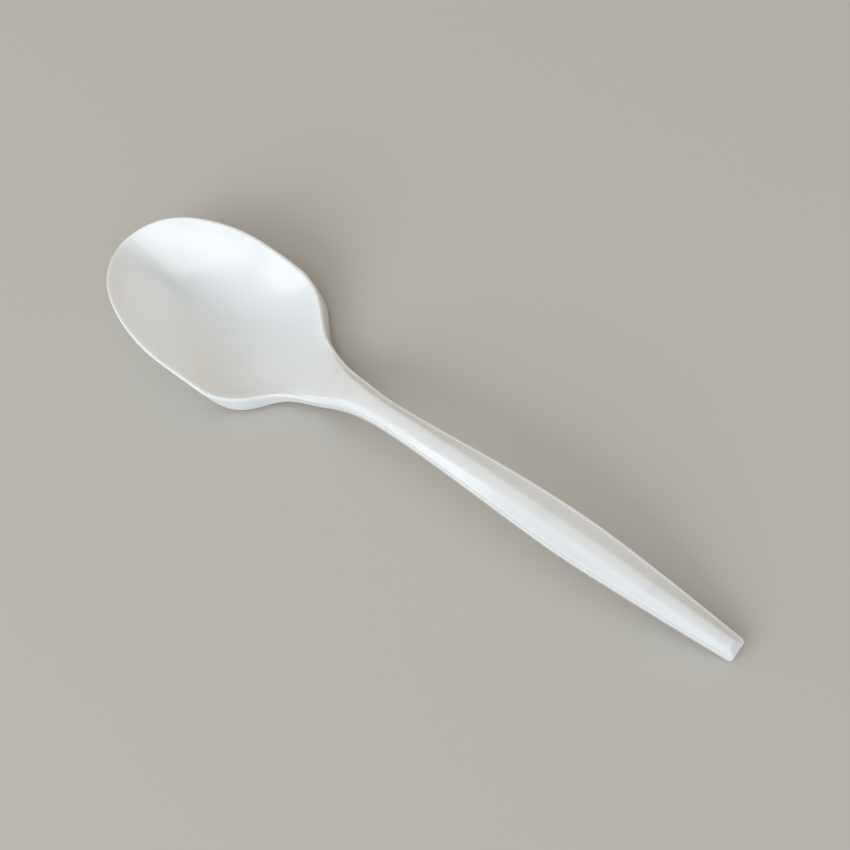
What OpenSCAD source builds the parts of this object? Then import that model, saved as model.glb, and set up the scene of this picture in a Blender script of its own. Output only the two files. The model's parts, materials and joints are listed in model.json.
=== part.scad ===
// Soup spoon, one plastic moulding, lying on a table with the bowl at -X and the handle end at +X.
// Every cross section is a row of points from the middle of the top, over the lip or flange, to the
// middle of the underside. Rows are mirrored across the length and lofted into closed solids.

/* [Overall] */
// Length of the spoon from the bowl's tip to the handle's end
overall_l = 150; // [135:1:175]

/* [Bowl] */
// Length of the bowl from its tip to the root of the neck
bowl_l = 57; // [48:0.5:66]
// Width of the bowl at its widest
bowl_w = 32.6; // [26:0.2:40]
// Width where the bowl ends and the neck begins
root_w = 15.2; // [11:0.2:19]
// Thickness of the bowl's floor and of the handle's walls
wall_t = 1.1; // [0.8:0.05:1.6]
// Thickness of the bowl's lip
lip_t = 1; // [0.8:0.05:1.6]
// Height of the lip above the table at the tip
tip_h = 7.9; // [6:0.1:10]
// Greatest height of the lip above the table
lip_crest_h = 10.9; // [8:0.1:13]
// Height of the lip above the table at the heel, its lowest place
heel_h = 3.9; // [3.6:0.1:6.5]

/* [Neck] */
// Length of the neck from the bowl's root to the waist
neck_l = 25; // [18:0.5:32]
// Width of the waist, the narrowest place
waist_w = 5; // [4.2:0.1:7]

/* [Handle] */
// Width of the handle at its widest, across the flanges
grip_w = 7.5; // [6.5:0.1:10]
// Width of the handle at its end
end_w = 3.8; // [3.5:0.1:6]
// Height of the flange's top above the table at the top of the handle's arch
arch_h = 10.1; // [7.5:0.1:13]
// Depth of the flange's edge round the shoulders of the bowl, where it is deepest
shoulder_flange_h = 4.2; // [3.2:0.1:4.6]
// How far the flange's edge flares outward at its foot there
shoulder_flare = 0.15; // [0:0.05:0.6]
// Depth of the flange's edge at the neck
neck_flange_h = 2.5; // [2.2:0.1:3]
// Depth of the flange's edge at the handle's end
end_flange_h = 1.85; // [1.4:0.05:2.4]
// Width of the narrow level land on top of the flange
land_w = 0.45; // [0.3:0.05:0.8]
// Height of the crown above the flange's top
crown_h = 0.8; // [0.5:0.05:1.3]
// Width of the crown's top at the waist
waist_crown_w = 2.6; // [2:0.1:2.9]
// Width of the crown's top at the widest place of the handle
grip_crown_w = 2.3; // [2:0.1:4]
// Width of the crown's top at the handle's end
end_crown_w = 1.8; // [1.2:0.1:2.1]
// Length of the handle's last stretch, which holds the facet and the wall that closes the channel
end_l = 7.6; // [6:0.2:12]
// Length of the sloped facet at the handle's end
end_facet_l = 0.9; // [0.6:0.1:2]
// Radius of the two corners at the handle's end
corner_r = 0.6; // [0.4:0.05:1.4]

/* [Hidden] */

// Outline of the bowl. Each pair is a place along the bowl's length and a share of its half width.
wide_share = 0.566;
shoulder_shares = [[0.772, 0.986], [0.842, 0.905], [0.895, 0.79], [0.947, 0.62]];
// Exponents of the rounded tip, which is an ellipse where both are 2
tip_round = 1.75;
tip_full = 1.76;
// Between root and waist, and between the grip and the end: place and share of the width to lose
neck_shares = [[0.24, 0.55], [0.56, 0.217]];
grip_share = 0.566;
taper_shares = [[0.458, 0.66]];

// Side view. Places of the lip's crest and heel along the bowl, and of the arch behind the bowl.
lip_crest_share = 0.265;
heel_share = 0.98;
arch_share = 0.475;
// Exponent of the lip's rise from tip to crest, which is straight where it is 1
tip_rise = 2;
// From crest to heel, heel to arch and arch to end: place, and height as a share of the way up from
// the lower to the higher
lip_fall_shares = [[0.268, 0.923], [0.562, 0.682], [0.807, 0.168]];
neck_rise_shares = [[0.157, 0.044], [0.444, 0.838]];
handle_fall_shares = [[0.468, 0.716]];
// The floor is level to this share of the bowl, then rises to the neck with a late, soft ramp
floor_share = 0.6;
ramp_end_share = 0.2;
ramp_ease = 1.5;
// The front rows fan out from a place this share of the way to the widest station
fan_share = 0.5;
fan_ease = 1.5;
// The hollow grows boxier from the tip over the widest station to the root
front_bulge = 2;
wide_bulge = 2.2;
root_bulge = 3.4;
skin_bulge = 0.35;
// Sink of the underside into the table, which leaves a small level place to stand on
rest_sink = 0.08;
// Places across the underside of the shell where its skin is followed
skin_shares = [0.97, 0.91, 0.82];
// Where the section is narrow, the side wall and the land take no more than these shares of it
wall_share = 0.55;
land_share = 0.4;

// Where the lip turns into the crown, along the bowl and the neck
crown_from_share = 0.968;
crown_to_share = 0.654;
// Where the flange's edge leaves the lip and is deepest, both along the bowl, and reaches the neck
skirt_from_share = 0.7;
skirt_to_share = 0.842;
neck_flange_share = 0.12;
// Where the shell's underside turns into the channel's ceiling, along the bowl and the neck
channel_from_share = 0.88;
channel_to_share = 0.2;
// Where the neck's region gives way to the handle's, along the neck
handle_cut_share = 0.68;

// Rounding of the lip and of the flange's edges, all small, and the bulge of the crown's top
lip_crest = 0.22;
lip_drop = 0.5;
edge_r = 0.12;
crown_bulge = 0.12;
channel_draft = 0.15;
channel_corner = 0.25;
end_wall_t = wall_t + edge_r;

// Where the moulding is divided into regions
neck_cut = bowl_l;
handle_cut = bowl_l + handle_cut_share * neck_l;
end_cut = overall_l - end_l;

// Numbers of rows and of points across a half section
tip_rows = 18;
bowl_rows = 18;
neck_rows = 10;
handle_rows = 22;
end_rows = 7;
end_wall_rows = 5;
half_points = 10;

waist_x = bowl_l + neck_l;
grip_x = waist_x + grip_share * (overall_l - waist_x);
wide_x = wide_share * bowl_l;

function mix(a, b, t) = a + (b - a) * t;
function clamp(t) = max(0, min(1, t));
function ease(t) = let (c = clamp(t)) c * c * (3 - 2 * c);
function ramp(x, from, to) = ease((x - from) / (to - from));

// Smooth curve through points, level at its start and at each high or low point
function secant(p, i) = (p[i + 1].y - p[i].y) / (p[i + 1].x - p[i].x);
function tangent(p, i) =
    i == 0 ? 0 :
    i == len(p) - 1 ? secant(p, i - 1) :
    let (a = secant(p, i - 1), b = secant(p, i))
    a * b <= 0 ? 0 : 2 * a * b / (a + b);
function span_at(p, x, i = 0) = i >= len(p) - 2 || x < p[i + 1].x ? i : span_at(p, x, i + 1);
function curve(p, x) =
    let (
        i = span_at(p, x),
        h = p[i + 1].x - p[i].x,
        t = clamp((x - p[i].x) / h),
        rise = 3 * t * t - 2 * t * t * t
    )
    p[i].y * (1 - rise) + p[i + 1].y * rise
    + h * tangent(p, i) * t * (1 - t) * (1 - t) - h * tangent(p, i + 1) * t * t * (1 - t);

// Half width of the outline at a station, with the end's corners rounded off
outline = concat(
    [[wide_x, bowl_w / 2]],
    [for (s = shoulder_shares) [s.x * bowl_l, s.y * bowl_w / 2]],
    [[bowl_l, root_w / 2]],
    [for (s = neck_shares) [bowl_l + s.x * neck_l, mix(waist_w, root_w, s.y) / 2]],
    [[waist_x, waist_w / 2], [grip_x, grip_w / 2]],
    [for (s = taper_shares) [mix(grip_x, overall_l, s.x), mix(end_w, grip_w, s.y) / 2]],
    [[overall_l, end_w / 2]]
);
function tip_half(x) =
    bowl_w / 2 * pow(1 - pow(clamp((wide_x - x) / wide_x), tip_round), 1 / tip_full);
function corner_cut(x) =
    let (d = max(0, x - overall_l + corner_r)) corner_r - sqrt(max(0, corner_r * corner_r - d * d));
function half_w(x) = x < wide_x ? tip_half(x) : curve(outline, x) - corner_cut(x);

// Height of the lip, which becomes the flange's top, and depth of the flange's edge
crest_x = lip_crest_share * bowl_l;
heel_x = heel_share * bowl_l;
arch_x = mix(bowl_l, overall_l, arch_share);
skirt_from = skirt_from_share * bowl_l;
skirt_to = skirt_to_share * bowl_l;
side_line = concat(
    [[crest_x, lip_crest_h]],
    [for (s = lip_fall_shares) [mix(crest_x, heel_x, s.x), mix(heel_h, lip_crest_h, s.y)]],
    [[heel_x, heel_h]],
    [for (s = neck_rise_shares) [mix(heel_x, arch_x, s.x), mix(heel_h, arch_h, s.y)]],
    [[arch_x, arch_h]],
    [for (s = handle_fall_shares) [mix(arch_x, overall_l, s.x), mix(end_flange_h, arch_h, s.y)]],
    [[overall_l, end_flange_h]]
);
neck_flange_x = bowl_l + neck_flange_share * neck_l;
flange_line = [
    [skirt_to, shoulder_flange_h], [neck_flange_x, neck_flange_h], [overall_l, end_flange_h]
];
function edge_z(x) = x < crest_x
    ? mix(lip_crest_h, tip_h, pow(1 - x / crest_x, tip_rise))
    : curve(side_line, x);
function flange_h(x) = curve(flange_line, x);
function flare(x) = shoulder_flare * (1 - ramp(x, skirt_to, neck_flange_x));

// How far the section has turned from bowl to handle: on top, at its edge, and underneath
function crown_turn(x) = ramp(x, crown_from_share * bowl_l, bowl_l + crown_to_share * neck_l);
function skirt_turn(x) = ramp(x, skirt_from, skirt_to);
function channel_turn(x) = ramp(x, channel_from_share * bowl_l, bowl_l + channel_to_share * neck_l);

// The crown: half width of its top, and its height, which runs out in the end's facet
crown_line = [
    [waist_x, waist_crown_w / 2], [grip_x, grip_crown_w / 2], [overall_l, end_crown_w / 2]
];
function land(w) = min(land_w, land_share * w);
function crown_half(w, x) = min(curve(crown_line, x), w - land(w) - edge_r);
function facet_fall(x) = clamp((overall_l - edge_r - x) / end_facet_l);
function crown_z(x) = edge_z(x) + mix(0, crown_h * facet_fall(x), crown_turn(x));

// Middle line of the top: level floor, ramp at the heel, then the crown
floor_from = floor_share * bowl_l;
floor_to = bowl_l + ramp_end_share * neck_l;
function middle_z(x) =
    let (t = ease(pow(clamp((x - floor_from) / (floor_to - floor_from)), ramp_ease)))
    mix(wall_t - rest_sink, crown_z(x) + crown_bulge * facet_fall(x), t);

// How boxy the hollow is. sweep is 0 on the row through the tip and 1 from the widest station on.
function bulge(x, sweep) =
    sweep < 1 ? mix(front_bulge, wide_bulge, sweep) : mix(wide_bulge, root_bulge, ramp(x, wide_x, bowl_l));

// A row: spine point s on the middle line, outline point o, both in plan, and the sweep
function at_row(s, o, inset, z) =
    let (d = norm(o - s), t = max(0, 1 - inset / d))
    [mix(s.x, o.x, t) - overall_l / 2, s.y + (o.y - s.y) * t, max(0, z)];

// Each half section has as many points on top as underneath, and point j on top pairs with point
// j from the other end underneath, so that a flat cap is a strip between them.
function row(s, o, sweep, solid = false) =
    let (
        w = norm(o - s),
        k = crown_turn(o.x),
        q = skirt_turn(o.x),
        c = channel_turn(o.x),
        e = edge_z(o.x),
        top = middle_z(s.x),
        brim = crown_z(o.x),
        reach = w - mix(lip_t - edge_r, w - crown_half(w, o.x), k),
        b = bulge(o.x, sweep),
        lip = e - lip_drop,
        keel = top - wall_t,
        foot = e - flange_h(o.x),
        out = flare(o.x),
        wall = min(wall_t, wall_share * w),
        well = w - wall - channel_draft * wall / wall_t
    )
    concat(
        [for (j = [0 : half_points]) let (v = j / half_points)
            at_row(s, o, w - reach * v, mix(top, brim, pow(v, b)))],
        [
            at_row(s, o, mix(lip_t / 2, land(w), k), e + mix(lip_crest, edge_r / 2, k)),
            at_row(s, o, edge_r, e + mix(edge_r, 0, k)),
            at_row(s, o, 0, e - edge_r),
            at_row(s, o, mix(0, -out, q), mix(lip, foot + edge_r, q)),
            at_row(s, o, mix(w * (1 - skin_shares.x), edge_r - out, q),
                mix(skin(lip, keel, skin_shares.x, b), foot, q)),
            at_row(s, o, mix(w * (1 - skin_shares.y), wall - out, q),
                mix(skin(lip, keel, skin_shares.y, b), foot, q))
        ],
        [for (j = [half_points : -1 : 0])
            let (
                v = mix(skin_shares.z, well / w, q) * j / half_points,
                roof = keel - (j == half_points ? channel_corner : 0)
            )
            at_row(s, o, w * (1 - v), mix(skin(lip, keel, v, b), solid ? foot : roof, c))]
    );
function skin(lip, keel, v, b) = mix(keel, lip, pow(v, b + skin_bulge));

// Closed solid through the rows and their mirror images. Point j of row i is shared by both sides
// where it lies on the middle line. Diagonals on the underside mirror those on top.
module loft(rows, tip = false) {
    n = len(rows);
    m = len(rows[0]);
    function right(i, j) = i * m + j;
    function left(i, j) = right(i, j) + (j == 0 || j == m - 1 || (tip && i == 0) ? 0 : n * m);
    function pair(a, b, c) = [
        [right(a.x, a.y), right(b.x, b.y), right(c.x, c.y)],
        [left(a.x, a.y), left(c.x, c.y), left(b.x, b.y)]
    ];
    function side(i, j) = j < m / 2
        ? concat(pair([i, j], [i + 1, j + 1], [i + 1, j]), pair([i, j], [i, j + 1], [i + 1, j + 1]))
        : concat(pair([i, j], [i, j + 1], [i + 1, j]), pair([i, j + 1], [i + 1, j + 1], [i + 1, j]));
    function cap(i) = [for (j = [0 : m / 2 - 2]) each concat(
        pair([i, j], [i, m - 1 - j], [i, j + 1]),
        pair([i, j + 1], [i, m - 1 - j], [i, m - 2 - j])
    )];
    function flip(faces) = [for (f = faces) [f.x, f.z, f.y]];
    polyhedron(
        points = concat([for (r = rows) each r], [for (r = rows) each [for (p = r) [p.x, -p.y, p.z]]]),
        faces = concat(
            [for (i = [0 : n - 2]) for (j = [0 : m - 2]) each side(i, j)],
            tip ? [] : cap(0),
            flip(cap(n - 1))
        ),
        convexity = 6
    );
}

// Rows from the tip round to the widest station, fanning out from the middle line
function fan_row(sweep) =
    let (
        x = wide_x * (1 - cos(90 * sweep)),
        s = [mix(fan_share * wide_x, wide_x, pow(sweep, fan_ease)), 0]
    )
    row(s, [x, tip_half(x)], sweep);
function plain_row(x, solid = false) = row([x, 0], [x, half_w(x)], 1, solid);
function plain_rows(from, to, count) = [for (i = [0 : count]) plain_row(mix(from, to, i / count))];

module bowl() {
    color("white")
        loft(concat(
            [for (i = [0 : tip_rows - 1]) fan_row(i / tip_rows)],
            plain_rows(wide_x, neck_cut, bowl_rows)
        ), tip = true);
}

module neck() {
    color("white") loft(plain_rows(neck_cut, handle_cut, neck_rows));
}

module handle() {
    color("white") loft(plain_rows(handle_cut, end_cut, handle_rows));
}

// The channel stops short of the end, so the last rows are solid down to the foot
module handle_end() {
    wall_x = overall_l - end_wall_t;
    color("white")
        loft(concat(
            plain_rows(end_cut, wall_x, end_rows),
            [for (i = [0 : end_wall_rows])
                plain_row(overall_l - wall_t * (1 - sin(90 * i / end_wall_rows)), true)]
        ));
}

bowl();
neck();
handle();
handle_end();
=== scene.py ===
"""Soup spoon, one moulding of glossy white plastic, dressed over its CAD frame.

The classes hold the spoon's sizes in millimetres, counted from the bowl's tip along the spoon, and
every mesh is made in metres in the frame's own axes: +X from the bowl to the handle's end, +Z up.
"""

from __future__ import annotations

import json
import logging
import math
from dataclasses import dataclass, fields
from enum import Enum
from typing import Any, Mapping, Optional, Sequence, Union

import bpy
from mathutils import Matrix, Vector

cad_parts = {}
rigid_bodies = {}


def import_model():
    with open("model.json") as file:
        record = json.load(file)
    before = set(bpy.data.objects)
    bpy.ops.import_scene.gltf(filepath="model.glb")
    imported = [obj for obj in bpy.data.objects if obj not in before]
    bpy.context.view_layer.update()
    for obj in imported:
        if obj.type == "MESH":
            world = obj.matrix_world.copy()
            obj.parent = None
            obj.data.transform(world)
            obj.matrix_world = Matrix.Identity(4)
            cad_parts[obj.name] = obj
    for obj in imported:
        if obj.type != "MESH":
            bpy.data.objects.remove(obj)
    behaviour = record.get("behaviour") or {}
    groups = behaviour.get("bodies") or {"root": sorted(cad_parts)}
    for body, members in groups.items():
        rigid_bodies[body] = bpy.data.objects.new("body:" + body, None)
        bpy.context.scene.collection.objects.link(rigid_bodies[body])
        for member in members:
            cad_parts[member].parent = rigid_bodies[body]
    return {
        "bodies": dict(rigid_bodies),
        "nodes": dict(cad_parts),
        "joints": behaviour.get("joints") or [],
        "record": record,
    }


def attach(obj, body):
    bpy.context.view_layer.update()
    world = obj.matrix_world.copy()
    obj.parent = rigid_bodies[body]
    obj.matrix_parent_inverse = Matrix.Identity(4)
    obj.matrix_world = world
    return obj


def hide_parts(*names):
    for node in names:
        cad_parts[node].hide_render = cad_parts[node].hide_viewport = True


LOG = logging.getLogger("soup_spoon")
MM = 0.001
REGIONS = ("bowl", "neck", "handle", "handle_end")
AXES = ("x", "y", "z")

Value = Union["Wire", float]
Spot = tuple[float, float]
Shares = tuple[Spot, ...]
Triple = tuple[float, float, float]
Tone = tuple[float, float, float, float]


# Small rules for numbers, of which mix serves node outputs too


def mix(a: Any, b: Any, share: Any) -> Any:
    """Go from a to b by a share.

    Args:
        a: Value at share 0, a number or a node output.
        b: Value at share 1.
        share: How far to go.

    Returns:
        The value between them, a node output if any of the three is one.
    """
    return a + (b - a) * share


def clamp(share: float) -> float:
    """Keep a share between 0 and 1."""
    return min(1.0, max(0.0, share))


def ease(share: float) -> float:
    """Smooth a share, so that it starts and ends level."""
    share = clamp(share)
    return share * share * (3 - 2 * share)


def ramp(x: float, start: float, end: float) -> float:
    """Rise smoothly from 0 at start to 1 at end.

    Args:
        x: Where to read the ramp.
        start: Where it leaves 0.
        end: Where it reaches 1.

    Returns:
        The ramp's height at x.
    """
    return ease((x - start) / (end - start))


@dataclass(frozen=True)
class Course:
    """A smooth curve through points, level at its start and at each high or low point."""

    points: tuple[Spot, ...]

    def _secant(self, i: int) -> float:
        """Slope of the straight line from point i to the next."""
        (x0, y0), (x1, y1) = self.points[i : i + 2]
        return (y1 - y0) / (x1 - x0)

    def _tangent(self, i: int) -> float:
        """Slope of the curve at point i."""
        if i == 0:
            return 0.0
        if i == len(self.points) - 1:
            return self._secant(i - 1)
        before, after = self._secant(i - 1), self._secant(i)
        return 0.0 if before * after <= 0 else 2 * before * after / (before + after)

    def at(self, x: float) -> float:
        """Height of the curve at x."""
        inner = [i for i, point in enumerate(self.points[:-1]) if point[0] <= x]
        i = inner[-1] if inner else 0
        (x0, y0), (x1, y1) = self.points[i : i + 2]
        run = x1 - x0
        t = clamp((x - x0) / run)
        rise = t * t * (3 - 2 * t)
        lean = self._tangent(i) * t * (1 - t) ** 2 - self._tangent(i + 1) * t * t * (1 - t)
        return mix(y0, y1, rise) + run * lean


# Node trees written as expressions


class Wire:
    """One node output, to which Python's operators add maths nodes."""

    def __init__(self, graph: "Graph", socket: bpy.types.NodeSocket) -> None:
        """Keep the socket and the graph that its maths is added to."""
        self.graph = graph
        self.socket = socket

    def __add__(self, other: Value) -> "Wire":
        """This plus the other."""
        return self.graph.math("ADD", self, other)

    def __radd__(self, other: Value) -> "Wire":
        """The other plus this."""
        return self.graph.math("ADD", other, self)

    def __sub__(self, other: Value) -> "Wire":
        """This less the other."""
        return self.graph.math("SUBTRACT", self, other)

    def __rsub__(self, other: Value) -> "Wire":
        """The other less this."""
        return self.graph.math("SUBTRACT", other, self)

    def __mul__(self, other: Value) -> "Wire":
        """This times the other."""
        return self.graph.math("MULTIPLY", self, other)

    def __rmul__(self, other: Value) -> "Wire":
        """The other times this."""
        return self.graph.math("MULTIPLY", other, self)

    def __truediv__(self, other: Value) -> "Wire":
        """This over the other."""
        return self.graph.math("DIVIDE", self, other)

    def __pow__(self, other: Value) -> "Wire":
        """This to the power of the other."""
        return self.graph.math("POWER", self, other)


@dataclass(frozen=True)
class Inlet:
    """A named input of a geometry tree."""

    name: str
    kind: str = "NodeSocketFloat"


class Graph:
    """A node tree, to which nodes are added by one method and maths by operators."""

    def __init__(self, tree: bpy.types.NodeTree) -> None:
        """Empty the tree and keep it."""
        tree.nodes.clear()
        self.tree = tree

    def add(
        self, kind: str, inputs: Optional[Mapping[Any, Any]] = None, **settings: Any
    ) -> bpy.types.Node:
        """Add one node.

        Args:
            kind: The node's type.
            inputs: Values or wires by the socket's name or number.
            settings: The node's own settings, set before its sockets, with a ramp's two stops as
                pairs of a place and a grey.

        Returns:
            The new node.
        """
        node = self.tree.nodes.new(kind)
        stops = settings.pop("stops", None)
        for name, value in settings.items():
            setattr(node, name, value)
        if stops:
            for element, (place, grey) in zip(node.color_ramp.elements, stops):
                element.position = place
                element.color = (grey, grey, grey, 1.0)
        for key, value in (inputs or {}).items():
            if isinstance(value, Wire):
                self.tree.links.new(value.socket, node.inputs[key])
            else:
                node.inputs[key].default_value = value
        return node

    def wire(self, node: bpy.types.Node, output: Union[int, str] = 0) -> Wire:
        """Wrap one output of a node."""
        return Wire(self, node.outputs[output])

    def math(self, operation: str, *values: Value) -> Wire:
        """Add a Math node.

        Args:
            operation: What the node does.
            values: Its inputs in order, numbers or wires.

        Returns:
            The node's result.
        """
        return self.wire(self.add("ShaderNodeMath", dict(enumerate(values)), operation=operation))

    def blend(self, share: Wire, low: Any, high: Any) -> Wire:
        """Mix two colours.

        Args:
            share: How far to go from the first to the second.
            low: The colour at share 0, a tone or a wire.
            high: The colour at share 1.

        Returns:
            The mixed colour.
        """
        # The Mix node's colours are its sockets 6 and 7, and its output 2
        inputs = {"Factor": share, 6: low, 7: high}
        return self.wire(self.add("ShaderNodeMix", inputs, data_type="RGBA"), 2)

    def soft_step(self, value: Wire, limits: Spot) -> Wire:
        """Rise smoothly from 0 to 1 while the value goes from one limit to the other."""
        inputs = {"Value": value, "From Min": limits[0], "From Max": limits[1]}
        return self.wire(self.add("ShaderNodeMapRange", inputs, interpolation_type="SMOOTHSTEP"))

    def inlets(self, inlets: Sequence[Inlet]) -> dict[str, Wire]:
        """Give a geometry tree its named inputs.

        Args:
            inlets: The inputs, without the geometry that comes first.

        Returns:
            A wire for each name, and one for "Geometry".
        """
        for inlet in (Inlet("Geometry", "NodeSocketGeometry"), *inlets):
            self.tree.interface.new_socket(
                name=inlet.name, in_out="INPUT", socket_type=inlet.kind
            )
        node = self.add("NodeGroupInput")
        return {inlet.name: self.wire(node, inlet.name) for inlet in (Inlet("Geometry"), *inlets)}

    def finish(self, geometry: Wire, material: Wire) -> None:
        """End a geometry tree: real geometry, in its material, at the group's output.

        Args:
            geometry: What the tree has made.
            material: The material that it gets.
        """
        self.tree.interface.new_socket(
            name="Geometry", in_out="OUTPUT", socket_type="NodeSocketGeometry"
        )
        real = self.wire(self.add("GeometryNodeRealizeInstances", {"Geometry": geometry}))
        smooth = self.wire(self.add("GeometryNodeSetShadeSmooth", {0: real}))
        dressed = self.add("GeometryNodeSetMaterial", {"Geometry": smooth, "Material": material})
        self.add("NodeGroupOutput", {"Geometry": self.wire(dressed)})


def guide_mesh(name: str, records: Sequence[Any], path: bool = False) -> bpy.types.Mesh:
    """Make a mesh that hands a table of numbers to a geometry tree.

    Args:
        name: The mesh's name.
        records: One dataclass record for each vertex. Each field becomes a named attribute, and
            fields named x, y and z, in millimetres, place the vertex.
        path: Whether the vertices are joined into one closed line.

    Returns:
        The mesh.
    """
    places = [tuple(getattr(record, axis, 0.0) * MM for axis in AXES) for record in records]
    count = len(records)
    edges = [(i, (i + 1) % count) for i in range(count)] if path else []
    mesh = bpy.data.meshes.new(name)
    mesh.from_pydata(places, edges, [])
    for item in fields(records[0]):
        if item.name not in AXES:
            layer = mesh.attributes.new(item.name, "FLOAT", "POINT")
            values = [float(getattr(record, item.name)) for record in records]
            layer.data.foreach_set("value", values)
    return mesh


def link(obj: bpy.types.Object) -> bpy.types.Object:
    """Put an object into the scene."""
    bpy.context.scene.collection.objects.link(obj)
    return obj


def grow(
    name: str, tree: bpy.types.NodeTree, guide: bpy.types.Mesh, values: Mapping[str, Any]
) -> bpy.types.Object:
    """Run a geometry tree on a guide mesh and keep the result as a plain mesh.

    Args:
        name: The new piece's name.
        tree: The geometry tree.
        guide: The mesh that the tree starts from, used up here.
        values: The tree's inputs by name.

    Returns:
        The piece, at the origin, with no modifier left on it.
    """
    holder = link(bpy.data.objects.new(f"{name}_guide", guide))
    modifier = holder.modifiers.new("grow", "NODES")
    modifier.node_group = tree
    for item in tree.interface.items_tree:
        if item.in_out == "INPUT" and item.name in values:
            modifier[item.identifier] = values[item.name]
    depsgraph = bpy.context.evaluated_depsgraph_get()
    mesh = bpy.data.meshes.new_from_object(holder.evaluated_get(depsgraph))
    mesh.name = name
    holder.modifiers.remove(modifier)
    bpy.data.objects.remove(holder)
    bpy.data.meshes.remove(guide)
    return link(bpy.data.objects.new(name, mesh))


# The plastic


def new_material(name: str) -> tuple[bpy.types.Material, Graph]:
    """Start a material with an empty node tree."""
    material = bpy.data.materials.new(name)
    material.use_nodes = True
    return material, Graph(material.node_tree)


@dataclass(frozen=True)
class Pattern:
    """A noise pattern: waves to the metre, finer layers, and its speed along each axis."""

    scale: float
    detail: float
    stretch: Triple = (1.0, 1.0, 1.0)
    roughness: float = 0.55

    def read(self, g: Graph, place: Wire) -> Wire:
        """Read the pattern.

        Args:
            g: The material's graph.
            place: Object coordinates in metres.

        Returns:
            The noise, about 0.5 on average.
        """
        mapped = g.wire(g.add("ShaderNodeMapping", {"Vector": place, "Scale": self.stretch}))
        inputs = {
            "Vector": mapped,
            "Scale": self.scale,
            "Detail": self.detail,
            "Roughness": self.roughness,
        }
        return g.wire(g.add("ShaderNodeTexNoise", inputs, noise_dimensions="3D"), "Fac")


@dataclass(frozen=True)
class MouldedPlastic:
    """Glossy white moulded plastic with the faint unevenness of a thin moulding.

    Sink waves and flow lines vary the tone, flow lines and rubs the gloss, and sink waves and grain
    the surface. Depths and heights are in metres.
    """

    name: str = "white_plastic"
    light_tone: Tone = (0.9, 0.9, 0.885, 1.0)
    deep_tone: Tone = (0.87, 0.87, 0.85, 1.0)
    gloss_roughness: float = 0.14
    haze: float = 0.06
    index: float = 1.49
    through: float = 0.6
    through_depth: float = 0.0025
    through_tone: Triple = (1.0, 0.92, 0.8)
    sink: Pattern = Pattern(85.0, 1.0, (1.0, 1.6, 1.6))
    flow: Pattern = Pattern(240.0, 3.0, (0.35, 1.0, 1.0))
    grain: Pattern = Pattern(5200.0, 2.0)
    rubs: Pattern = Pattern(900.0, 5.0, (0.12, 1.0, 1.0))
    rub_stops: Shares = ((0.56, 0.0), (0.74, 1.0))
    rub_share: float = 0.6
    sink_share: float = 0.6
    sink_height: float = 0.00006
    grain_height: float = 0.000004

    def build(self) -> bpy.types.Material:
        """Make the material.

        Returns:
            A material whose tone, gloss and surface vary a little over the moulding.
        """
        material, g = new_material(self.name)
        material.diffuse_color = self.light_tone
        place = g.wire(g.add("ShaderNodeTexCoord"), "Object")
        patterns = (self.sink, self.flow, self.grain, self.rubs)
        sink, flow, grain, rubs = (pattern.read(g, place) for pattern in patterns)
        rubbed = g.wire(g.add("ShaderNodeValToRGB", {"Fac": rubs}, stops=self.rub_stops))
        lightness = sink * self.sink_share + flow * (1 - self.sink_share)
        roughness = self.gloss_roughness + self.haze * (flow - 0.5)
        roughness += self.haze * rubbed * self.rub_share
        waves = {"Height": sink, "Strength": 1.0, "Distance": self.sink_height}
        skin = {
            "Height": grain,
            "Strength": 1.0,
            "Distance": self.grain_height,
            "Normal": g.wire(g.add("ShaderNodeBump", waves)),
        }
        shader = g.add(
            "ShaderNodeBsdfPrincipled",
            {
                "Base Color": g.blend(lightness, self.deep_tone, self.light_tone),
                "Roughness": roughness,
                "IOR": self.index,
                "Subsurface Weight": self.through,
                "Subsurface Radius": self.through_tone,
                "Subsurface Scale": self.through_depth,
                "Normal": g.wire(g.add("ShaderNodeBump", skin)),
            },
        )
        g.add("ShaderNodeOutputMaterial", {"Surface": g.wire(shader)})
        return material


# The spoon's form, by region


@dataclass(frozen=True)
class BowlForm:
    """Sizes of the bowl, in millimetres, and shares of them."""

    length: float = 57.0
    width: float = 32.6
    root_width: float = 15.2
    lip_thickness: float = 1.0
    tip_height: float = 7.9
    lip_crest_height: float = 10.9
    heel_height: float = 3.9
    shoulder_flange: float = 4.2
    shoulder_flare: float = 0.15
    wide_share: float = 0.566
    shoulder_shares: Shares = ((0.772, 0.986), (0.842, 0.905), (0.895, 0.79), (0.947, 0.62))
    tip_round: float = 1.75
    tip_full: float = 1.76
    lip_crest_share: float = 0.265
    heel_share: float = 0.98
    tip_rise: float = 2.0
    lip_fall_shares: Shares = ((0.268, 0.923), (0.562, 0.682), (0.807, 0.168))
    floor_share: float = 0.6
    fan_share: float = 0.5
    fan_ease: float = 1.5
    front_bulge: float = 2.0
    wide_bulge: float = 2.2
    root_bulge: float = 3.4
    crown_from_share: float = 0.968
    skirt_from_share: float = 0.7
    skirt_to_share: float = 0.842
    channel_from_share: float = 0.88
    rest_sink: float = 0.08
    lip_drop: float = 0.5


@dataclass(frozen=True)
class NeckForm:
    """Sizes of the neck, in millimetres, and shares of them."""

    length: float = 25.0
    root_crown: float = 12.4
    crown_shares: Shares = ((0.5, 0.25),)
    waist_width: float = 5.0
    flange: float = 2.5
    neck_shares: Shares = ((0.24, 0.55), (0.56, 0.217))
    neck_rise_shares: Shares = ((0.157, 0.044), (0.444, 0.838))
    flange_share: float = 0.12
    ramp_end_share: float = 0.2
    ramp_ease: float = 1.5
    crown_to_share: float = 0.654
    channel_to_share: float = 0.2


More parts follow.
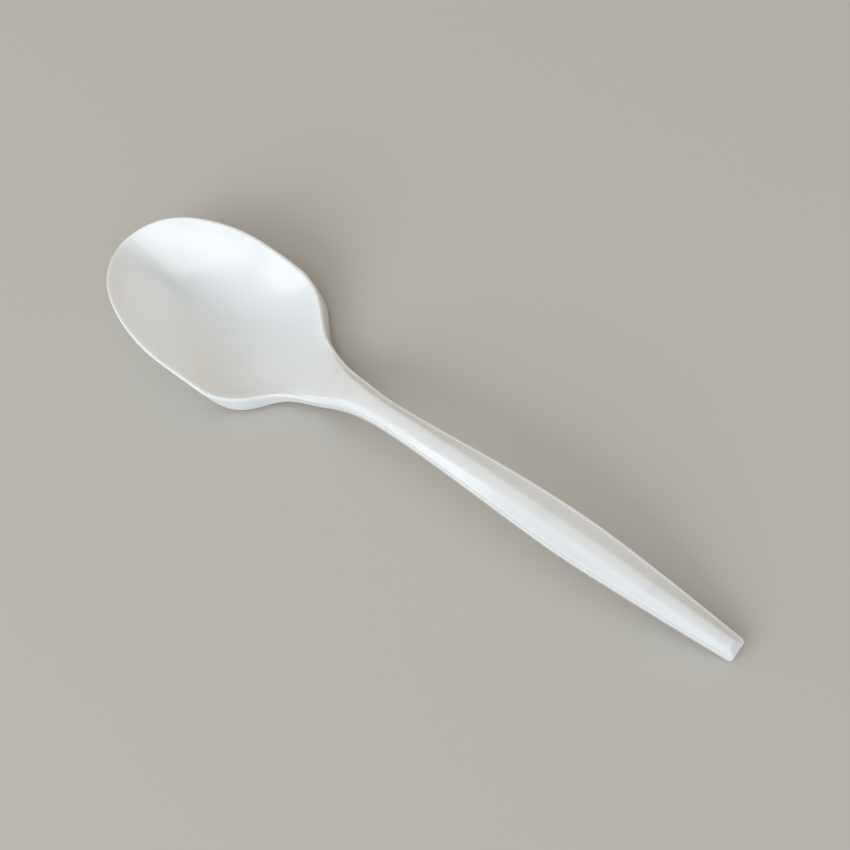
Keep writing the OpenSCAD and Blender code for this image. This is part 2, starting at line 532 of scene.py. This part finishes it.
@dataclass(frozen=True)
class HandleForm:
    """Sizes of the handle, in millimetres, and shares of them."""

    grip_width: float = 7.5
    end_width: float = 3.8
    arch_height: float = 10.1
    end_flange: float = 1.85
    land_width: float = 0.45
    crown_height: float = 0.8
    waist_crown: float = 2.6
    grip_crown: float = 2.3
    end_crown: float = 1.8
    end_facet: float = 0.9
    corner_radius: float = 0.6
    grip_share: float = 0.566
    taper_shares: Shares = ((0.458, 0.66),)
    arch_share: float = 0.475
    handle_fall_shares: Shares = ((0.468, 0.716),)
    crown_bulge: float = 0.12
    wall_share: float = 0.55
    land_share: float = 0.4
    groove: float = 0.07


@dataclass(frozen=True)
class Station:
    """What the loft reads at one row round the spoon, in millimetres and shares."""

    spine_x: float
    rim_x: float
    rim_y: float
    reach: float
    crown_turn: float
    skirt_turn: float
    channel_turn: float
    edge: float
    foot: float
    flare: float
    middle: float
    brim: float
    crown: float
    bulge: float
    land: float
    groove: float
    wall: float
    keel: float
    roof: float
    shrink: float


@dataclass(frozen=True)
class RowPlan:
    """How the loft's rows are shared out, in numbers of rows and in millimetres.

    The handle's last stretch has a row where it begins and one part of the way to the wall that
    closes the channel, then rows before the wall, rows along the facet, rows round the corners
    in degrees, and rows that shrink onto the end.
    """

    fan: int = 16
    bowl: int = 14
    neck: int = 13
    handle: int = 18
    last_stretch: float = 5.0
    last_share: float = 0.55
    before_wall: tuple[float, ...] = (0.5, 0.12)
    facet_step: float = 0.1
    corner_turns: tuple[int, ...] = (0, 18, 36, 52, 66, 78, 90)
    shrinks: tuple[float, ...] = (0.94, 0.5, 0.0)


@dataclass(frozen=True)
class SpoonForm:
    """The whole spoon's form, worked out from its three regions.

    The skin stays short of the full length by the hair, so that it never leaves the solids' box.
    """

    bowl: BowlForm = BowlForm()
    neck: NeckForm = NeckForm()
    handle: HandleForm = HandleForm()
    plan: RowPlan = RowPlan()
    length: float = 150.0
    wall: float = 1.1
    edge_radius: float = 0.12
    hair: float = 0.002

    @property
    def waist_x(self) -> float:
        """Where the waist is."""
        return self.bowl.length + self.neck.length

    @property
    def wide_x(self) -> float:
        """Where the bowl is widest."""
        return self.bowl.wide_share * self.bowl.length

    @property
    def grip_x(self) -> float:
        """Where the handle is widest."""
        return mix(self.waist_x, self.length, self.handle.grip_share)

    def _outline(self) -> Course:
        """Half the width from the widest station to the handle's end."""
        bowl, neck, handle = self.bowl, self.neck, self.handle
        return Course(
            (
                (self.wide_x, bowl.width / 2),
                *((x * bowl.length, y * bowl.width / 2) for x, y in bowl.shoulder_shares),
                (bowl.length, bowl.root_width / 2),
                *(
                    (bowl.length + x * neck.length, mix(neck.waist_width, bowl.root_width, y) / 2)
                    for x, y in neck.neck_shares
                ),
                (self.waist_x, neck.waist_width / 2),
                (self.grip_x, handle.grip_width / 2),
                *(
                    (
                        mix(self.grip_x, self.length, x),
                        mix(handle.end_width, handle.grip_width, y) / 2,
                    )
                    for x, y in handle.taper_shares
                ),
                (self.length, handle.end_width / 2),
            )
        )

    def _crown_line(self) -> Course:
        """Half the width of the crown's top from the bowl's root to the handle's end."""
        bowl, neck, handle = self.bowl, self.neck, self.handle
        return Course(
            (
                (bowl.length, neck.root_crown / 2),
                *(
                    (
                        mix(bowl.length, self.waist_x, x),
                        mix(handle.waist_crown, neck.root_crown, y) / 2,
                    )
                    for x, y in neck.crown_shares
                ),
                (self.waist_x, handle.waist_crown / 2),
                (self.grip_x, handle.grip_crown / 2),
                (self.length, handle.end_crown / 2),
            )
        )

    def half_width(self, x: float) -> float:
        """Half the outline's width at a station."""
        if x < self.wide_x:
            rest = 1 - clamp((self.wide_x - x) / self.wide_x) ** self.bowl.tip_round
            return self.bowl.width / 2 * max(0.0, rest) ** (1 / self.bowl.tip_full)
        radius = self.handle.corner_radius
        past = max(0.0, x - self.length + radius)
        return self._outline().at(x) - radius + math.sqrt(max(0.0, radius * radius - past * past))

    def edge(self, x: float) -> float:
        """Height of the lip, which becomes the flange's top."""
        bowl, handle = self.bowl, self.handle
        crest = (bowl.lip_crest_share * bowl.length, bowl.lip_crest_height)
        if x < crest[0]:
            return mix(crest[1], bowl.tip_height, (1 - x / crest[0]) ** bowl.tip_rise)
        heel = (bowl.heel_share * bowl.length, bowl.heel_height)
        arch = (mix(bowl.length, self.length, handle.arch_share), handle.arch_height)
        end = (self.length, handle.end_flange)

        def between(start: Spot, stop: Spot, low: float, shares: Shares) -> list[Spot]:
            """Lay points between two others, by shares of the way and of the height over low."""
            high = max(start[1], stop[1])
            return [(mix(start[0], stop[0], u), mix(low, high, v)) for u, v in shares]

        return Course(
            (
                crest,
                *between(crest, heel, heel[1], bowl.lip_fall_shares),
                heel,
                *between(heel, arch, heel[1], self.neck.neck_rise_shares),
                arch,
                *between(arch, end, end[1], handle.handle_fall_shares),
                end,
            )
        ).at(x)

    def flange(self, x: float) -> float:
        """Depth of the flange's edge."""
        bowl, neck = self.bowl, self.neck
        return Course(
            (
                (bowl.skirt_to_share * bowl.length, bowl.shoulder_flange),
                (bowl.length + neck.flange_share * neck.length, neck.flange),
                (self.length, self.handle.end_flange),
            )
        ).at(x)

    def facet_fall(self, x: float) -> float:
        """Share of the crown's height that the end's facet leaves."""
        return clamp((self.length - self.edge_radius - x) / self.handle.end_facet)

    def crown_turn(self, x: float) -> float:
        """How far the lip has turned into the crown."""
        start = self.bowl.crown_from_share * self.bowl.length
        return ramp(x, start, self.bowl.length + self.neck.crown_to_share * self.neck.length)

    def crown_z(self, x: float) -> float:
        """Height of the crown's edge."""
        return self.edge(x) + self.handle.crown_height * self.facet_fall(x) * self.crown_turn(x)

    def middle_z(self, x: float) -> float:
        """Height of the top's middle line: floor, ramp at the heel, crown."""
        start = self.bowl.floor_share * self.bowl.length
        end = self.bowl.length + self.neck.ramp_end_share * self.neck.length
        rise = ease(clamp((x - start) / (end - start)) ** self.neck.ramp_ease)
        crest = self.crown_z(x) + self.handle.crown_bulge * self.facet_fall(x)
        return mix(self.wall - self.bowl.rest_sink, crest, rise)

    def station(
        self, spine_x: float, x: float, sweep: float = 1.0, solid: bool = False, shrink: float = 1.0
    ) -> Station:
        """Work out one row.

        Args:
            spine_x: Where the row starts on the middle line.
            x: Where it meets the outline.
            sweep: 0 on the row through the tip, 1 from the widest station on.
            solid: Whether the channel is closed there.
            shrink: Share of the section's size, under 1 on the rows that close the end.

        Returns:
            The row's numbers.
        """
        bowl, handle = self.bowl, self.handle
        y = self.half_width(x)
        reach = math.hypot(x - spine_x, y)
        edge = self.edge(x)
        foot = edge - self.flange(x)
        skirt_to = bowl.skirt_to_share * bowl.length
        flange_x = bowl.length + self.neck.flange_share * self.neck.length
        land = min(handle.land_width, handle.land_share * reach)
        keel = self.middle_z(spine_x) - self.wall
        if sweep < 1:
            bulge = mix(bowl.front_bulge, bowl.wide_bulge, sweep)
        else:
            bulge = mix(bowl.wide_bulge, bowl.root_bulge, ramp(x, self.wide_x, bowl.length))
        return Station(
            spine_x=spine_x,
            rim_x=x,
            rim_y=y,
            reach=reach,
            crown_turn=self.crown_turn(x),
            skirt_turn=ramp(x, bowl.skirt_from_share * bowl.length, skirt_to),
            channel_turn=ramp(
                x,
                bowl.channel_from_share * bowl.length,
                bowl.length + self.neck.channel_to_share * self.neck.length,
            ),
            edge=edge,
            foot=foot,
            flare=bowl.shoulder_flare * (1 - ramp(x, skirt_to, flange_x)),
            middle=self.middle_z(spine_x),
            brim=self.crown_z(x),
            crown=min(self._crown_line().at(x), reach - land - self.edge_radius),
            bulge=bulge,
            land=land,
            groove=handle.groove * self.facet_fall(x) * self.crown_turn(x),
            wall=min(self.wall, handle.wall_share * reach),
            keel=keel,
            roof=foot if solid else keel,
            shrink=shrink,
        )

    def stations(self) -> list[Station]:
        """List the rows from the tip to the closed end.

        Returns:
            The rows in order, closest together where the form turns quickest.
        """
        bowl, handle, plan = self.bowl, self.handle, self.plan
        rows: list[Station] = []
        for i in range(plan.fan):
            sweep = i / plan.fan
            spine = mix(bowl.fan_share * self.wide_x, self.wide_x, sweep**bowl.fan_ease)
            rim = self.wide_x * (1 - math.cos(math.pi / 2 * sweep))
            rows.append(self.station(spine, rim, sweep))
        last = self.length - plan.last_stretch
        for start, end, count in (
            (self.wide_x, bowl.length, plan.bowl),
            (bowl.length, self.waist_x, plan.neck),
            (self.waist_x, last, plan.handle),
        ):
            rows += [self.station(x, x) for x in (mix(start, end, i / count) for i in range(count))]
        facet_x = self.length - self.edge_radius - handle.end_facet
        wall_x = facet_x - plan.facet_step
        open_rows = [last, mix(last, wall_x, plan.last_share)]
        open_rows += [wall_x - gap for gap in plan.before_wall]
        rows += [self.station(x, x) for x in open_rows]
        end_x = self.length - self.hair
        solid_rows = [wall_x, facet_x, facet_x + plan.facet_step]
        solid_rows += [
            end_x - handle.corner_radius * (1 - math.sin(math.radians(turn)))
            for turn in plan.corner_turns
        ]
        rows += [self.station(x, x, solid=True) for x in solid_rows]
        rows += [self.station(end_x, end_x, solid=True, shrink=s) for s in plan.shrinks]
        return rows


class Zone(float, Enum):
    """The three stretches of half a cross section, and the number each has in the loft."""

    TOP = 0.0
    EDGE = 1.0
    UNDER = 2.0


@dataclass(frozen=True)
class ProfilePoint:
    """One point of half a cross section, as it lies on the bowl and on the handle.

    On the top, place goes from the middle to the crown's edge. On the edge, lip_in and lip_rise are
    shares of the bowl's lip, and the rest lays the point on the handle's facet, groove and land. On
    the underside, place goes from the middle to the outline on the bowl, and the rest lays the
    point on the flange's wall, foot and channel.
    """

    zone: Zone
    place: float = 0.0
    lip_in: float = 0.0
    lip_rise: float = 0.0
    facet: float = 0.0
    on_land: float = 0.0
    in_groove: float = 0.0
    across: float = 0.0
    on_wall: float = 0.0
    up_channel: float = 0.0
    up_edge: float = 0.0
    inset: float = 0.0
    rise: float = 0.0


@dataclass(frozen=True)
class Profile:
    """Half a cross section, from the middle of the top to the middle of the underside.

    The places are shares of the way from the middle to the crown's edge, on top, and to the
    channel's wall, underneath. Corner draft and corner rise round off the channel's corner.
    """

    edge_radius: float = 0.12
    draft: float = 0.15
    shell_share: float = 0.79
    corner_draft: float = 1.5
    corner_rise: float = 0.98
    top_places: tuple[float, ...] = (0.0, 0.1, 0.2, 0.3, 0.4, 0.5, 0.6, 0.7, 0.79, 0.87, 0.94, 1.0)
    under_places: tuple[float, ...] = (1.0, 0.86, 0.7, 0.55, 0.4, 0.25, 0.12, 0.0)

    def points(self) -> list[ProfilePoint]:
        """List the points.

        Returns:
            The points in order, with two close together at each edge that stays crisp.
        """
        r, d = self.edge_radius, self.draft
        top = [ProfilePoint(Zone.TOP, place=v) for v in self.top_places]
        facet_points = [
            ProfilePoint(Zone.EDGE, 0.0, lip_in, lip_rise, facet, 1.0, in_groove)
            for lip_in, lip_rise, facet, in_groove in (
                (0.76, 0.55, 0.86, 0.14),
                (0.64, 0.85, 0.5, 0.5),
                (0.5, 1.0, 0.12, 0.88),
                (0.36, 0.95, 0.0, 1.0),
            )
        ]
        edge = [
            ProfilePoint(Zone.EDGE, lip_in=0.24, lip_rise=0.7, on_land=0.78, in_groove=0.8),
            ProfilePoint(Zone.EDGE, lip_in=0.14, lip_rise=0.3, on_land=0.5),
            ProfilePoint(Zone.EDGE, lip_in=0.06, lip_rise=-0.3, inset=r),
            ProfilePoint(Zone.EDGE, lip_in=0.01, lip_rise=-1.0, inset=0.25 * r, rise=-0.25 * r),
            ProfilePoint(Zone.EDGE, lip_rise=-1.6, rise=-1.2 * r),
        ]
        wall = [
            ProfilePoint(Zone.UNDER, place=1.0, up_edge=0.5),
            ProfilePoint(Zone.UNDER, place=0.985, rise=1.2 * r),
            ProfilePoint(Zone.UNDER, place=0.965, inset=0.25 * r, rise=0.25 * r),
            ProfilePoint(Zone.UNDER, place=0.94, inset=1.2 * r),
            ProfilePoint(Zone.UNDER, place=0.915, on_wall=1.0, inset=-r),
            ProfilePoint(Zone.UNDER, place=0.885, on_wall=1.0, up_channel=0.06),
            ProfilePoint(Zone.UNDER, place=0.855, on_wall=1.0, inset=0.4 * d, up_channel=0.45),
            ProfilePoint(Zone.UNDER, place=0.825, on_wall=1.0, inset=0.8 * d, up_channel=0.85),
        ]
        under = [
            ProfilePoint(
                Zone.UNDER,
                place=self.shell_share * v,
                across=1 - v,
                on_wall=v,
                inset=d * v * (self.corner_draft if v == 1.0 else 1.0),
                up_channel=self.corner_rise if v == 1.0 else 1.0,
            )
            for v in self.under_places
        ]
        return top + facet_points + edge + wall + under


@dataclass(frozen=True)
class Moulding:
    """The spoon itself: one closed skin lofted from the tip to the handle's end.

    The hollow begins at a share of the lip's thickness, and points closer than the merge distance,
    in metres, become one.
    """

    form: SpoonForm = SpoonForm()
    profile: Profile = Profile()
    smoothing: int = 2
    lip_crest: float = 0.22
    lip_share: float = 0.89
    skin_bulge: float = 0.35
    merge: float = 1e-6

    def _tree(self) -> bpy.types.NodeTree:
        """Write the loft as a geometry tree.

        Returns:
            A tree that reads stations from its own mesh and the profile from another object, lays
            one row of points round the spoon for each station, and skins and smooths them.
        """
        tree = bpy.data.node_groups.new("section_loft", "GeometryNodeTree")
        g = Graph(tree)
        given = g.inlets(
            (
                Inlet("Profile", "NodeSocketObject"),
                Inlet("Rows", "NodeSocketInt"),
                Inlet("Half points", "NodeSocketInt"),
                Inlet("Length"),
                Inlet("Lip thickness"),
                Inlet("Lip crest"),
                Inlet("Lip drop"),
                Inlet("Skin bulge"),
                Inlet("Scale"),
                Inlet("Smoothing", "NodeSocketInt"),
                Inlet("Plastic", "NodeSocketMaterial"),
            )
        )
        half = given["Half points"] - 1
        round_count = half * 2 + 1
        counts = {"Vertices X": given["Rows"], "Vertices Y": round_count}
        sheet = g.add("GeometryNodeMeshGrid", counts)
        index = g.wire(g.add("GeometryNodeInputIndex"))
        # The half here and the quarter below keep a rounding error from giving the number before
        row_number = g.math("FLOOR", (index + 0.5) / round_count)
        turn = index - row_number * round_count
        left = g.math("GREATER_THAN", turn, half)
        point_number = mix(turn, half * 2 - turn, left)
        side = 1 - left * 2
        profile = g.wire(g.add("GeometryNodeObjectInfo", {"Object": given["Profile"]}), "Geometry")

        def read(source: Wire, number: Wire, name: str) -> Wire:
            """Read one named number from a guide's vertex."""
            named = g.add("GeometryNodeInputNamedAttribute", {"Name": name}, data_type="FLOAT")
            inputs = {"Geometry": source, "Value": g.wire(named), "Index": number + 0.25}
            settings = {"data_type": "FLOAT", "domain": "POINT"}
            return g.wire(g.add("GeometryNodeSampleIndex", inputs, **settings))

        s = {f.name: read(given["Geometry"], row_number, f.name) for f in fields(Station)}
        p = {f.name: read(profile, point_number, f.name) for f in fields(ProfilePoint)}
        lip = given["Lip thickness"]

        brim_in = mix(lip * self.lip_share, s["reach"] - s["crown"], s["crown_turn"])
        top_reach = s["reach"] - brim_in
        top_in = s["reach"] - top_reach * p["place"]
        top_z = mix(s["middle"], s["brim"], p["place"] ** s["bulge"])

        facet_in = (
            p["facet"] * (s["reach"] - s["crown"] - s["land"])
            + p["on_land"] * s["land"]
            + p["inset"]
        )
        facet_z = (
            s["edge"]
            + p["facet"] * (s["brim"] - s["edge"])
            - p["in_groove"] * s["groove"]
            + p["rise"]
        )
        edge_in = mix(p["lip_in"] * lip, facet_in, s["crown_turn"])
        edge_z = mix(s["edge"] + p["lip_rise"] * given["Lip crest"], facet_z, s["crown_turn"])

        shell_in = s["reach"] * (1 - p["place"])
        splay = s["flare"] * (1 - p["up_channel"]) * (1 - p["up_edge"])
        channel_in = p["across"] * s["reach"] + p["on_wall"] * s["wall"] + p["inset"] - splay
        under_in = mix(shell_in, channel_in, s["skirt_turn"])
        out = g.math("MAXIMUM", 0.0, 1 - under_in / s["reach"])
        skin = out ** (s["bulge"] + given["Skin bulge"])
        shell_z = mix(s["keel"], s["edge"] - given["Lip drop"], skin)
        channel_z = (
            s["foot"]
            + p["up_channel"] * (mix(shell_z, s["roof"], s["channel_turn"]) - s["foot"])
            + p["up_edge"] * (s["edge"] - s["foot"])
            + p["rise"]
        )
        under_z = mix(shell_z, channel_z, s["skirt_turn"])

        tolerance = 0.1
        on_edge = g.math("COMPARE", p["zone"], Zone.EDGE.value, tolerance)
        on_under = g.math("COMPARE", p["zone"], Zone.UNDER.value, tolerance)
        inset = mix(mix(top_in, edge_in, on_edge), under_in, on_under)
        height = g.math("MAXIMUM", 0.0, mix(mix(top_z, edge_z, on_edge), under_z, on_under))

        share = g.math("MAXIMUM", 0.0, 1 - inset / s["reach"])
        core = (s["edge"] + s["foot"]) * 0.5
        x = mix(s["spine_x"], s["rim_x"], share) - given["Length"] * 0.5
        y = s["rim_y"] * share * side * s["shrink"]
        z = mix(core, height, s["shrink"])
        scale = given["Scale"]
        place = g.add("ShaderNodeCombineXYZ", {"X": x * scale, "Y": y * scale, "Z": z * scale})
        laid_in = {"Geometry": g.wire(sheet), "Position": g.wire(place)}
        laid = g.wire(g.add("GeometryNodeSetPosition", laid_in))
        closed_in = {"Geometry": laid, "Distance": self.merge}
        closed = g.wire(g.add("GeometryNodeMergeByDistance", closed_in))
        smooth_in = {"Mesh": closed, "Level": given["Smoothing"]}
        smooth = g.wire(g.add("GeometryNodeSubdivisionSurface", smooth_in))
        g.finish(smooth, given["Plastic"])
        return tree

    def build(self, plastic: bpy.types.Material) -> bpy.types.Object:
        """Loft the spoon.

        Args:
            plastic: The material that it gets.

        Returns:
            The finished skin.
        """
        stations, profile = self.form.stations(), self.profile.points()
        side = link(bpy.data.objects.new("profile_guide", guide_mesh("profile_guide", profile)))
        piece = grow(
            "moulding",
            self._tree(),
            guide_mesh("station_guide", stations),
            {
                "Profile": side,
                "Rows": len(stations),
                "Half points": len(profile),
                "Length": self.form.length,
                "Lip thickness": self.form.bowl.lip_thickness,
                "Lip crest": self.lip_crest,
                "Lip drop": self.form.bowl.lip_drop,
                "Skin bulge": self.skin_bulge,
                "Scale": MM,
                "Smoothing": self.smoothing,
                "Plastic": plastic,
            },
        )
        bpy.data.objects.remove(side)
        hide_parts(*REGIONS)
        return piece


@dataclass(frozen=True)
class PathPoint:
    """A vertex of a path round the spoon, in millimetres in the frame's axes."""

    x: float
    y: float
    z: float


@dataclass(frozen=True)
class PartingLine:
    """The hair-thin bead that the two halves of the mould leave round the outline."""

    form: SpoonForm = SpoonForm()
    radius: float = 0.035
    sides: int = 8
    below_edge: float = 0.3
    sunk: float = 0.036

    def _tree(self) -> bpy.types.NodeTree:
        """Write the bead as a geometry tree that sweeps a small circle along a closed path."""
        tree = bpy.data.node_groups.new("bead_sweep", "GeometryNodeTree")
        g = Graph(tree)
        given = g.inlets(
            (
                Inlet("Bead radius"),
                Inlet("Bead sides", "NodeSocketInt"),
                Inlet("Plastic", "NodeSocketMaterial"),
            )
        )
        path = g.wire(g.add("GeometryNodeMeshToCurve", {0: given["Geometry"]}))
        circle = g.add(
            "GeometryNodeCurvePrimitiveCircle",
            {"Resolution": given["Bead sides"], "Radius": given["Bead radius"]},
        )
        bead = g.add("GeometryNodeCurveToMesh", {"Curve": path, "Profile Curve": g.wire(circle)})
        g.finish(g.wire(bead), given["Plastic"])
        return tree

    def _path(self) -> list[PathPoint]:
        """Follow the outline from the end's right corner round the tip and back."""
        rows = [row for row in self.form.stations() if row.shrink == 1.0]
        right = [
            PathPoint(
                min(max(row.rim_x, self.sunk), self.form.length - self.sunk) - self.form.length / 2,
                max(0.0, row.rim_y - self.sunk),
                row.edge - self.below_edge,
            )
            for row in rows
        ]
        return right[::-1] + [PathPoint(p.x, -p.y, p.z) for p in right[1:]]

    def build(self, plastic: bpy.types.Material) -> bpy.types.Object:
        """Sweep the bead.

        Args:
            plastic: The material that it gets.

        Returns:
            The finished bead.
        """
        values = {"Bead radius": self.radius * MM, "Bead sides": self.sides, "Plastic": plastic}
        guide = guide_mesh("parting_guide", self._path(), True)
        return grow("parting_line", self._tree(), guide, values)


@dataclass(frozen=True)
class PinSpot:
    """A place under the handle where an ejector pin pushed, with the channel's slope there."""

    x: float
    y: float
    z: float
    tilt: float


@dataclass(frozen=True)
class EjectorMarks:
    """Round marks that the ejector pins leave on the channel's ceiling."""

    form: SpoonForm = SpoonForm()
    radius: float = 1.15
    height: float = 0.14
    proud: float = 0.06
    sides: int = 40
    stations: tuple[float, ...] = (95.0, 116.0, 136.0)
    half_step: float = 0.5

    def _tree(self) -> bpy.types.NodeTree:
        """Write the marks as a geometry tree that sets a disc on every guide vertex."""
        tree = bpy.data.node_groups.new("pin_marks", "GeometryNodeTree")
        g = Graph(tree)
        given = g.inlets(
            (Inlet("Mark radius"), Inlet("Mark height"), Inlet("Plastic", "NodeSocketMaterial"))
        )
        disc = g.add(
            "GeometryNodeMeshCylinder",
            {
                "Vertices": self.sides,
                "Radius": given["Mark radius"],
                "Depth": given["Mark height"],
            },
        )
        tilt = g.wire(g.add("GeometryNodeInputNamedAttribute", {"Name": "tilt"}, data_type="FLOAT"))
        turn = g.wire(g.add("ShaderNodeCombineXYZ", {"Y": tilt}))
        rotation = g.wire(g.add("FunctionNodeEulerToRotation", {0: turn}))
        inputs = {"Points": given["Geometry"], "Instance": g.wire(disc), "Rotation": rotation}
        g.finish(g.wire(g.add("GeometryNodeInstanceOnPoints", inputs)), given["Plastic"])
        return tree

    def build(self, plastic: bpy.types.Material) -> bpy.types.Object:
        """Set the marks.

        Args:
            plastic: The material that they get.

        Returns:
            The marks as one piece.
        """
        form, spots = self.form, []
        for x in self.stations:
            roof = form.middle_z(x) - form.wall
            rise = form.middle_z(x + self.half_step) - form.middle_z(x - self.half_step)
            z = roof - self.proud + self.height / 2
            tilt = -math.atan(rise / (2 * self.half_step))
            spots.append(PinSpot(x - form.length / 2, 0.0, z, tilt))
        values = {
            "Mark radius": self.radius * MM,
            "Mark height": self.height * MM,
            "Plastic": plastic,
        }
        return grow("ejector_marks", self._tree(), guide_mesh("pin_guide", spots), values)


# The studio


@dataclass(frozen=True)
class PhotoCamera:
    """The camera of the photograph, found from the spoon's own outline.

    Lengths are in millimetres from the point of the table under the lens, angles in degrees, and
    the focal length is in pixels of the square photograph. The clip range is in metres.
    """

    focal: float = 851.0
    pixels: float = 850.0
    pitch: float = 60.57
    roll: float = -35.74
    azimuth: float = -70.71
    tip_x: float = -31.527
    tip_y: float = 156.116
    height: float = 137.423
    spoon_length: float = 150.0
    sensor: float = 36.0
    clip: Spot = (0.005, 20.0)

    def build(self) -> bpy.types.Object:
        """Make the scene's camera.

        Returns:
            The camera, which sees what the photograph sees.
        """
        a, p, r = (math.radians(angle) for angle in (self.azimuth, self.pitch, self.roll))
        turn = Matrix.Rotation(-a, 3, "Z")
        right = turn @ Vector((1.0, 0.0, 0.0))
        ahead = turn @ Vector((0.0, math.cos(p), -math.sin(p)))
        down = turn @ Vector((0.0, -math.sin(p), -math.cos(p)))
        across = right * math.cos(r) - down * math.sin(r)
        downward = right * math.sin(r) + down * math.cos(r)
        spot = turn @ Vector((-self.tip_x, -self.tip_y, self.height))
        spot.x -= self.spoon_length / 2
        data = bpy.data.cameras.new("photo_camera")
        data.sensor_width = self.sensor
        data.lens = self.sensor * self.focal / self.pixels
        data.clip_start, data.clip_end = self.clip
        camera = link(bpy.data.objects.new("photo_camera", data))
        frame = Matrix((across, -downward, -ahead)).transposed().to_4x4()
        camera.matrix_world = Matrix.Translation(spot * MM) @ frame
        bpy.context.scene.camera = camera
        return camera


@dataclass(frozen=True)
class SoftLamp:
    """An oblong lamp, in metres and watts."""

    name: str
    place: Triple
    width: float
    height: float
    power: float
    tone: Triple = (1.0, 1.0, 1.0)

    def build(self) -> None:
        """Hang the lamp, facing the spoon."""
        data = bpy.data.lights.new(self.name, "AREA")
        data.shape = "RECTANGLE"
        data.size, data.size_y = self.width, self.height
        data.energy, data.color = self.power, self.tone
        lamp = link(bpy.data.objects.new(self.name, data))
        lamp.location = self.place
        lamp.rotation_euler = (-Vector(self.place)).to_track_quat("-Z", "Y").to_euler()


@dataclass(frozen=True)
class Studio:
    """A pale floor, a sky with an open side, a shaded side and a ceiling, and a window lamp.

    The open side is where the photograph's light comes from. Its limits are cosines of the angle to
    that side, the ceiling's limits are heights on the sky's unit sphere, and lengths are in metres.
    """

    floor_tone: Tone = (0.55, 0.52, 0.47, 1.0)
    floor_half: float = 6.0
    floor_gap: float = 0.00002
    floor_roughness: float = 0.65
    shade_sky: Tone = (0.42, 0.32, 0.19, 1.0)
    open_sky: Tone = (0.74, 0.87, 1.0, 1.0)
    open_side: Triple = (0.15, -0.9, 0.4)
    open_limits: Spot = (-0.5, 0.7)
    ceiling: Tone = (0.72, 0.73, 0.73, 1.0)
    ceiling_limits: Spot = (0.25, 0.95)
    lamp: SoftLamp = SoftLamp("window", (-0.2, -0.97, 0.55), 1.0, 0.7, 4.8)

    def _floor(self) -> None:
        """Lay the floor just under the spoon."""
        h = self.floor_half
        mesh = bpy.data.meshes.new("floor")
        mesh.from_pydata([(-h, -h, 0), (h, -h, 0), (h, h, 0), (-h, h, 0)], [], [(0, 1, 2, 3)])
        mesh.transform(Matrix.Translation((0.0, 0.0, -self.floor_gap)))
        material, g = new_material("pale_floor")
        look = {"Base Color": self.floor_tone, "Roughness": self.floor_roughness}
        shader = g.add("ShaderNodeBsdfPrincipled", look)
        g.add("ShaderNodeOutputMaterial", {"Surface": g.wire(shader)})
        mesh.materials.append(material)
        floor = link(bpy.data.objects.new("floor", mesh))

    def _sky(self) -> None:
        """Light the spoon softly: cool from the open side, warm from behind, neutral from above."""
        world = bpy.data.worlds.new("sky")
        world.use_nodes = True
        bpy.context.scene.world = world
        g = Graph(world.node_tree)
        way = g.wire(g.add("ShaderNodeTexCoord"), "Generated")
        both = {0: way, 1: tuple(Vector(self.open_side).normalized())}
        facing = g.wire(g.add("ShaderNodeVectorMath", both, operation="DOT_PRODUCT"), "Value")
        openness = g.soft_step(facing, self.open_limits)
        around = g.blend(openness, self.shade_sky, self.open_sky)
        height = g.wire(g.add("ShaderNodeSeparateXYZ", {"Vector": way}), "Z")
        overhead = g.soft_step(height, self.ceiling_limits)
        sky = g.blend(overhead, around, self.ceiling)
        light = g.add("ShaderNodeBackground", {"Color": sky, "Strength": 1.0})
        g.add("ShaderNodeOutputWorld", {"Surface": g.wire(light)})

    def build(self) -> None:
        """Set up floor, sky and lamp."""
        self._floor()
        self._sky()
        self.lamp.build()


def main() -> None:
    """Load the frame, make the spoon and its studio, and log the frame's nodes and each piece's
    faces.
    """
    logging.basicConfig(level=logging.INFO, format="%(name)s: %(message)s")
    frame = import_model()
    LOG.info("frame with nodes %s", ", ".join(sorted(frame["nodes"])))
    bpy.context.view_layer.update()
    PhotoCamera().build()
    Studio().build()
    plastic = MouldedPlastic().build()
    thin_plastic = MouldedPlastic(name="white_plastic_thin", through=0.0).build()
    makers = (
        (Moulding(), plastic),
        (PartingLine(), thin_plastic),
        (EjectorMarks(), thin_plastic),
    )
    for maker, finish in makers:
        piece = maker.build(finish)
        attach(piece, "root")
        LOG.info("%s: %d faces", piece.name, len(piece.data.polygons))
    bpy.context.scene.view_settings.view_transform = "Standard"


if __name__ == "__main__":
    main()
